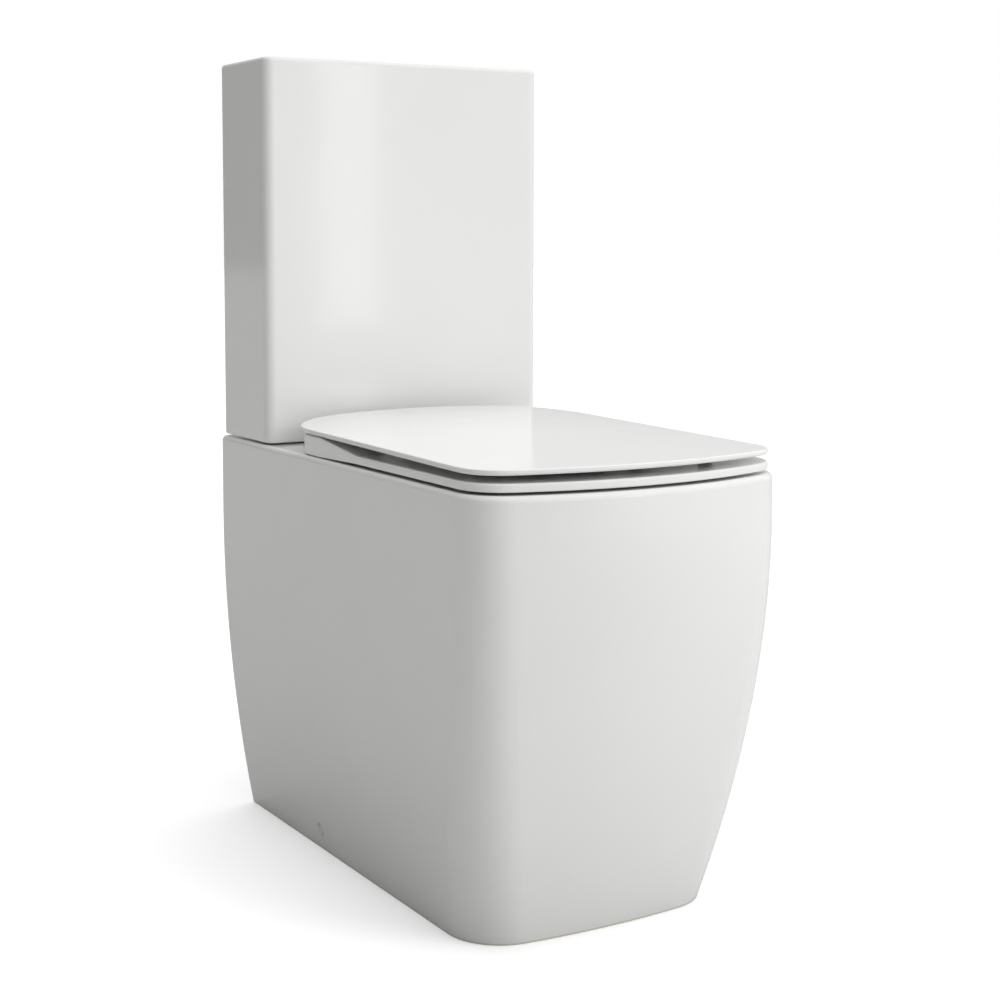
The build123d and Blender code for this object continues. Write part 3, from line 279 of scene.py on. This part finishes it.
class TOILET_OT_seat(bpy.types.Operator):
    """Finish the seat ring, its cover and their buffers"""

    bl_idname = "toilet.seat"
    bl_label = "Seat"

    def execute(self, context):
        look = context.scene.toilet.finish
        # Urea, compression moulded in a polished tool: hard, even white with a clean gloss.
        material, tree, shader, place = start_material("compression_moulded_urea", Roughness=0.12, IOR=1.54)
        low = dimmed(look.seat, 0.99)
        mottle(tree, place, shader, low, tuple(look.seat), 60 * MM, roughness=(0.1, 0.15))
        relief(tree, place, shader, [(120 * MM, 0.1 * MM), (3 * MM, 0.002 * MM)])
        dress(material, "seat_plastic", "seat_ring", "seat_cover")
        # Soft thermoplastic pads, moulded in a spark finished tool: matt, a little greyer than the seat.
        pads, tree, shader, place = start_material("moulded_soft_elastomer_white", Roughness=0.6, IOR=1.5)
        mottle(tree, place, shader, linear("#C9C9C6"), linear("#D4D4D1"), 8 * MM)
        relief(tree, place, shader, [(1.2 * MM, 0.03 * MM)])
        dress(pads, "buffer_rubber", "seat_ring_buffers", "seat_cover_buffers")
        return {"FINISHED"}


class TOILET_OT_metal(bpy.types.Operator):
    """Finish the hinges, bolts, washers, screws and pins"""

    bl_idname = "toilet.metal"
    bl_label = "Steel fittings"

    def execute(self, context):
        # Stainless steel, turned and brushed: fine bands of brighter and duller metal.
        material, tree, shader, place = start_material("brushed_stainless_steel", Metallic=1.0, Roughness=0.3)
        stretch = put(
            tree, "ShaderNodeMapping", [("Scale", (1 / (1.2 * MM), 1 / (1.2 * MM), 1 / (0.25 * MM)))],
            [("Vector", place)],
        )
        grain = put(
            tree, "ShaderNodeTexNoise", [("Scale", 1.0), ("Detail", 3.0)],
            [("Vector", stretch.outputs["Vector"])],
        )
        grade(tree, shader, grain, linear("#A9AAAC"), linear("#C8C9CB"), BRUSHED_STOPS, (0.22, 0.38))
        bump = put(
            tree, "ShaderNodeBump", [("Distance", 0.01 * MM), ("Strength", 0.6)],
            [("Height", grain.outputs["Fac"])],
        )
        tree.links.new(bump.outputs["Normal"], shader.inputs["Normal"])
        dress(
            material, "steel", "hinge_posts", "hinge_base_plates", "hinge_pins", "hinge_studs",
            "coupling_bolts", "coupling_steel_washers", "side_fixing_screws", "side_fixing_nuts",
            "flush_lever_pin", "float_arm_pin", "full_button_spring", "half_button_spring",
        )
        return {"FINISHED"}


class TOILET_OT_button(bpy.types.Operator):
    """Plate the dual flush button and wind its two springs"""

    bl_idname = "toilet.button"
    bl_label = "Flush button"

    def execute(self, context):
        look = context.scene.toilet.finish
        # ABS, moulded and chromium plated: a bright mirror with the faintest swell of the moulding under it.
        material, tree, shader, place = start_material("chromium_plated_abs", Metallic=1.0, Roughness=0.06)
        low = dimmed(look.chrome, 0.97)
        mottle(tree, place, shader, low, tuple(look.chrome), 6 * MM, roughness=(0.04, 0.1))
        relief(tree, place, shader, [(14 * MM, 0.03 * MM)])
        dress(material, "chrome", "button_bezel", "full_flush_button", "half_flush_button")
        for kind in ("full", "half"):
            self.wind(kind)
        return {"FINISHED"}

    def wind(self, kind):
        """A coil spring with closed ends."""
        node = f"{kind}_button_spring"
        low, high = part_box(node)
        wire = SPRING_WIRE_RADIUS
        middle = (low + high) / 2
        coil = (high.x - low.x) / 2 - wire
        length = high.z - low.z - 2 * wire
        points = []
        steps = SPRING_TURNS * POINTS_PER_TURN
        for i in range(steps + 1):
            share = i / steps
            # the wire lies nearly flat at both ends, which closes them
            climb = min(1.0, max(0.0, (share - SPRING_END_SHARE) / (1 - 2 * SPRING_END_SHARE)))
            angle = 2 * math.pi * share * SPRING_TURNS
            rise = SPRING_END_CLIMB * share + (1 - SPRING_END_CLIMB) * climb
            points.append((
                middle.x + coil * math.cos(angle),
                middle.y + coil * math.sin(angle),
                low.z + wire + length * rise,
            ))
        curve = bpy.data.curves.new(f"{node}_line", "CURVE")
        curve.dimensions = "3D"
        curve.bevel_depth = wire
        curve.bevel_resolution = 3
        curve.use_fill_caps = True
        line = curve.splines.new("POLY")
        line.points.add(len(points) - 1)
        for point, place in zip(line.points, points):
            point.co = (*place, 1.0)
        holder = bpy.data.objects.new(f"{node}_line", curve)
        bpy.context.scene.collection.objects.link(holder)
        bpy.context.view_layer.update()
        mesh = bpy.data.meshes.new_from_object(holder.evaluated_get(bpy.context.evaluated_depsgraph_get()))
        bpy.data.objects.remove(holder)
        spring = bpy.data.objects.new(f"{node}_coil", mesh)
        bpy.context.scene.collection.objects.link(spring)
        mesh.materials.clear()
        mesh.materials.append(bpy.data.materials["brushed_stainless_steel"])
        for face in mesh.polygons:
            face.use_smooth = True
        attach(spring, "cistern_lid")
        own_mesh(spring)
        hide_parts(node)


class TOILET_OT_valves(bpy.types.Operator):
    """Finish the flush valve, the fill valve and every plastic fitting"""

    bl_idname = "toilet.valves"
    bl_label = "Valves"

    def execute(self, context):
        look = context.scene.toilet.finish
        kinds = [
            # Polypropylene, injection moulded in a lightly textured tool: waxy off white with a soft sheen.
            ("injection_moulded_polypropylene", "white_plastic", "#DCDCD8", "#E6E6E3", 0.38, (
                "flush_valve_housing", "flush_lift_tube", "fill_valve_body", "float_arm", "side_fixing_caps",
                "seat_ring_bushes", "floor_brackets", "coupling_wing_nuts", "hinge_wing_nuts",
                "button_bezel_nut", "flush_valve_backnut", "fill_valve_backnut",
            )),
            # Acetal, injection moulded: dense dark grey with a low sheen.
            ("injection_moulded_acetal_grey", "dark_plastic", "#3A3C3E", "#45474A", 0.42, (
                "soft_close_dampers", "float_cup", "fill_valve_cap",
            )),
        ]
        for name, slot, low, high, rough, nodes in kinds:
            material, tree, shader, place = start_material(name, IOR=1.49)
            mottle(
                tree, place, shader, linear(low), linear(high), 12 * MM,
                roughness=(rough - 0.05, rough + 0.08),
            )
            relief(tree, place, shader, [(20 * MM, 0.05 * MM), (0.6 * MM, 0.01 * MM)])
            dress(material, slot, *nodes)
        # Acetal, injection moulded in a signal colour: a flat, even blue, so the levers are easy to find.
        material, tree, shader, place = start_material("injection_moulded_acetal_blue", IOR=1.49)
        low = dimmed(look.lever, 0.85)
        mottle(tree, place, shader, low, tuple(look.lever), 10 * MM, roughness=(0.35, 0.45))
        relief(tree, place, shader, [(0.6 * MM, 0.01 * MM)])
        dress(material, "blue_plastic", "full_flush_lever", "half_flush_lever")
        return {"FINISHED"}


class TOILET_OT_seals(bpy.types.Operator):
    """Finish the gasket, the seal and the rubber washers"""

    bl_idname = "toilet.seals"
    bl_label = "Rubber seals"

    def execute(self, context):
        # EPDM rubber, moulded: dull black with a dusty bloom and a faint open grain.
        material, tree, shader, place = start_material("moulded_epdm_rubber", IOR=1.5)
        mottle(tree, place, shader, linear("#232425"), linear("#303132"), 9 * MM, 4.0, (0.62, 0.8))
        relief(tree, place, shader, [(6 * MM, 0.08 * MM), (0.9 * MM, 0.04 * MM)])
        dress(
            material, "rubber", "doughnut_gasket", "coupling_rubber_washers", "flush_valve_washer",
            "flush_seal", "fill_valve_washer", "hinge_rubber_washers",
        )
        return {"FINISHED"}


class TOILET_OT_stage(bpy.types.Operator):
    """Lay the floor, hang the lights and set the camera"""

    bl_idname = "toilet.stage"
    bl_label = "Stage"

    def execute(self, context):
        look = context.scene.toilet.stage
        scene = context.scene
        self.floor(look)
        self.world(scene, look)
        low, high = CAD_BOX
        aim = (low + high) / 2
        for name, place, size, power, mirrored in (
            # name, place, width and height, watts, whether it shows in the gloss
            ("key_soft_box", (1.7, -3.0, 2.0), (2.0, 2.2), look.key, False),
            ("window_strip", (1.45, -2.9, 1.3), (0.18, 1.9), look.key * STRIP_SHARE, True),
        ):
            self.soft_box(name, Vector(place), aim, size, power, mirrored)
        self.overhead(look)
        self.camera(scene, look)
        scene.view_settings.view_transform = "Standard"
        scene.view_settings.look = "None"
        scene.view_settings.exposure = 0.0
        scene.view_settings.gamma = 1.0
        return {"FINISHED"}

    def floor(self, look):
        """A plain white floor under the foot, and the greyer one that its light comes back from."""
        # Matt studio vinyl, calendered: an even white, as bright as the room, with only a soft shadow.
        seen = self.sheet("studio_floor", look, FLOOR_BELOW, "calendered_matt_vinyl", look.floor, FLOOR_GLOW)
        seen.visible_diffuse = False
        seen.visible_glossy = False
        seen.visible_shadow = False
        # Its backing, grey felt pressed from wool: a matt light grey that keeps the sides from glowing.
        under = self.sheet("floor_backing", look, BACKING_BELOW, "pressed_grey_felt", look.backing, 0.0)
        under.visible_camera = False

    def sheet(self, name, look, below, covering, colour, glow):
        """One flat square sheet, this far below the foot, which may glow a little."""
        mesh = bpy.data.meshes.new(name)
        shape = bmesh.new()
        bmesh.ops.create_grid(shape, x_segments=8, y_segments=8, size=look.floor_size / 2)
        shape.to_mesh(mesh)
        shape.free()
        plane = bpy.data.objects.new(name, mesh)
        bpy.context.scene.collection.objects.link(plane)
        plane.location.z = CAD_BOX[0].z - below
        material, tree, shader, place = start_material(
            covering, IOR=1.45, Emission_Color=linear("#FFFFFF"), Emission_Strength=glow,
        )
        dull = dimmed(colour, 0.995)
        mottle(tree, place, shader, dull, tuple(colour), 0.6, roughness=(0.75, 0.85))
        mesh.materials.append(material)
        return plane

    def world(self, scene, look):
        """A plain room: seen as white behind the toilet, and lighting it softly, more from the right."""
        world = bpy.data.worlds.new("white_room")
        world.use_nodes = True
        tree = world.node_tree
        tree.nodes.clear()
        seen = put(tree, "ShaderNodeLightPath")
        place = put(tree, "ShaderNodeTexCoord")
        side = put(tree, "ShaderNodeSeparateXYZ", links=[("Vector", place.outputs["Generated"])])
        # the room is darker on the left, so the left sides fall into shade
        level = put(
            tree, "ShaderNodeMapRange",
            [
                ("From Min", -0.9), ("From Max", 0.5),
                ("To Min", look.fill * SHADE_SHARE), ("To Max", look.fill),
            ],
            [("Value", side.outputs["X"])], interpolation_type="SMOOTHSTEP",
        )
        light = put(
            tree, "ShaderNodeBackground", [("Color", linear("#FFFFFF"))],
            [("Strength", level.outputs["Result"])],
        )
        shown = put(tree, "ShaderNodeBackground", [("Color", linear("#FFFFFF")), ("Strength", 1.0)])
        both = put(tree, "ShaderNodeMixShader")
        tree.links.new(seen.outputs["Is Camera Ray"], both.inputs[0])
        tree.links.new(light.outputs["Background"], both.inputs[1])
        tree.links.new(shown.outputs["Background"], both.inputs[2])
        put(tree, "ShaderNodeOutputWorld", links=[("Surface", both.outputs["Shader"])])
        scene.world = world

    def overhead(self, look):
        """A wide even light straight down, on the lids and the floor."""
        lamp = bpy.data.lights.new("overhead", "SUN")
        lamp.energy = look.overhead
        lamp.angle = OVERHEAD_SPREAD
        holder = bpy.data.objects.new("overhead", lamp)
        holder.visible_glossy = False
        bpy.context.scene.collection.objects.link(holder)

    def soft_box(self, name, place, aim, size, power, mirrored):
        """A rectangular lamp that faces the toilet."""
        lamp = bpy.data.lights.new(name, "AREA")
        lamp.shape = "RECTANGLE"
        lamp.size, lamp.size_y = size
        lamp.energy = power
        holder = bpy.data.objects.new(name, lamp)
        holder.visible_glossy = mirrored
        holder.location = place
        holder.rotation_mode = "QUATERNION"
        holder.rotation_quaternion = (aim - place).to_track_quat("-Z", "Y")
        bpy.context.scene.collection.objects.link(holder)

    def camera(self, scene, look):
        """The camera stands to the left of the front, a little above the rim."""
        lens = bpy.data.cameras.new("camera")
        lens.sensor_width = 36.0
        lens.lens = look.lens
        lens.shift_x, lens.shift_y = CAMERA_SHIFT
        lens.clip_end = 200.0
        holder = bpy.data.objects.new("camera", lens)
        holder.location = CAMERA_PLACE
        level = math.cos(CAMERA_DIP)
        ahead = Vector((math.sin(CAMERA_TURN) * level, math.cos(CAMERA_TURN) * level, -math.sin(CAMERA_DIP)))
        holder.rotation_mode = "QUATERNION"
        holder.rotation_quaternion = ahead.to_track_quat("-Z", "Y")
        scene.collection.objects.link(holder)
        scene.camera = holder


class TOILET_PT_panel(bpy.types.Panel):
    """Buttons for each group of pieces, and the sizes and colours"""

    bl_idname = "TOILET_PT_panel"
    bl_label = "Close Coupled Toilet"
    bl_space_type = "VIEW_3D"
    bl_region_type = "UI"
    bl_category = "Toilet"

    def draw(self, context):
        settings = context.scene.toilet
        for operator in OPERATORS:
            self.layout.operator(operator.bl_idname)
        for group in (settings.finish, settings.stage):
            box = self.layout.box()
            for name in group.bl_rna.properties.keys():
                if name not in ("rna_type", "name"):
                    box.prop(group, name)


OPERATORS = (
    TOILET_OT_china, TOILET_OT_seat, TOILET_OT_metal, TOILET_OT_button, TOILET_OT_valves, TOILET_OT_seals,
    TOILET_OT_stage,
)
CLASSES = (ToiletFinish, ToiletStage, ToiletSettings, *OPERATORS, TOILET_PT_panel)


def register():
    for kind in CLASSES:
        bpy.utils.register_class(kind)
    bpy.types.Scene.toilet = PointerProperty(type=ToiletSettings)


def unregister():
    del bpy.types.Scene.toilet
    for kind in reversed(CLASSES):
        bpy.utils.unregister_class(kind)


def main():
    register()
    bpy.ops.toilet.china()
    bpy.ops.toilet.seat()
    bpy.ops.toilet.metal()
    bpy.ops.toilet.button()
    bpy.ops.toilet.valves()
    bpy.ops.toilet.seals()
    bpy.ops.toilet.stage()


if __name__ == "__main__":
    main()
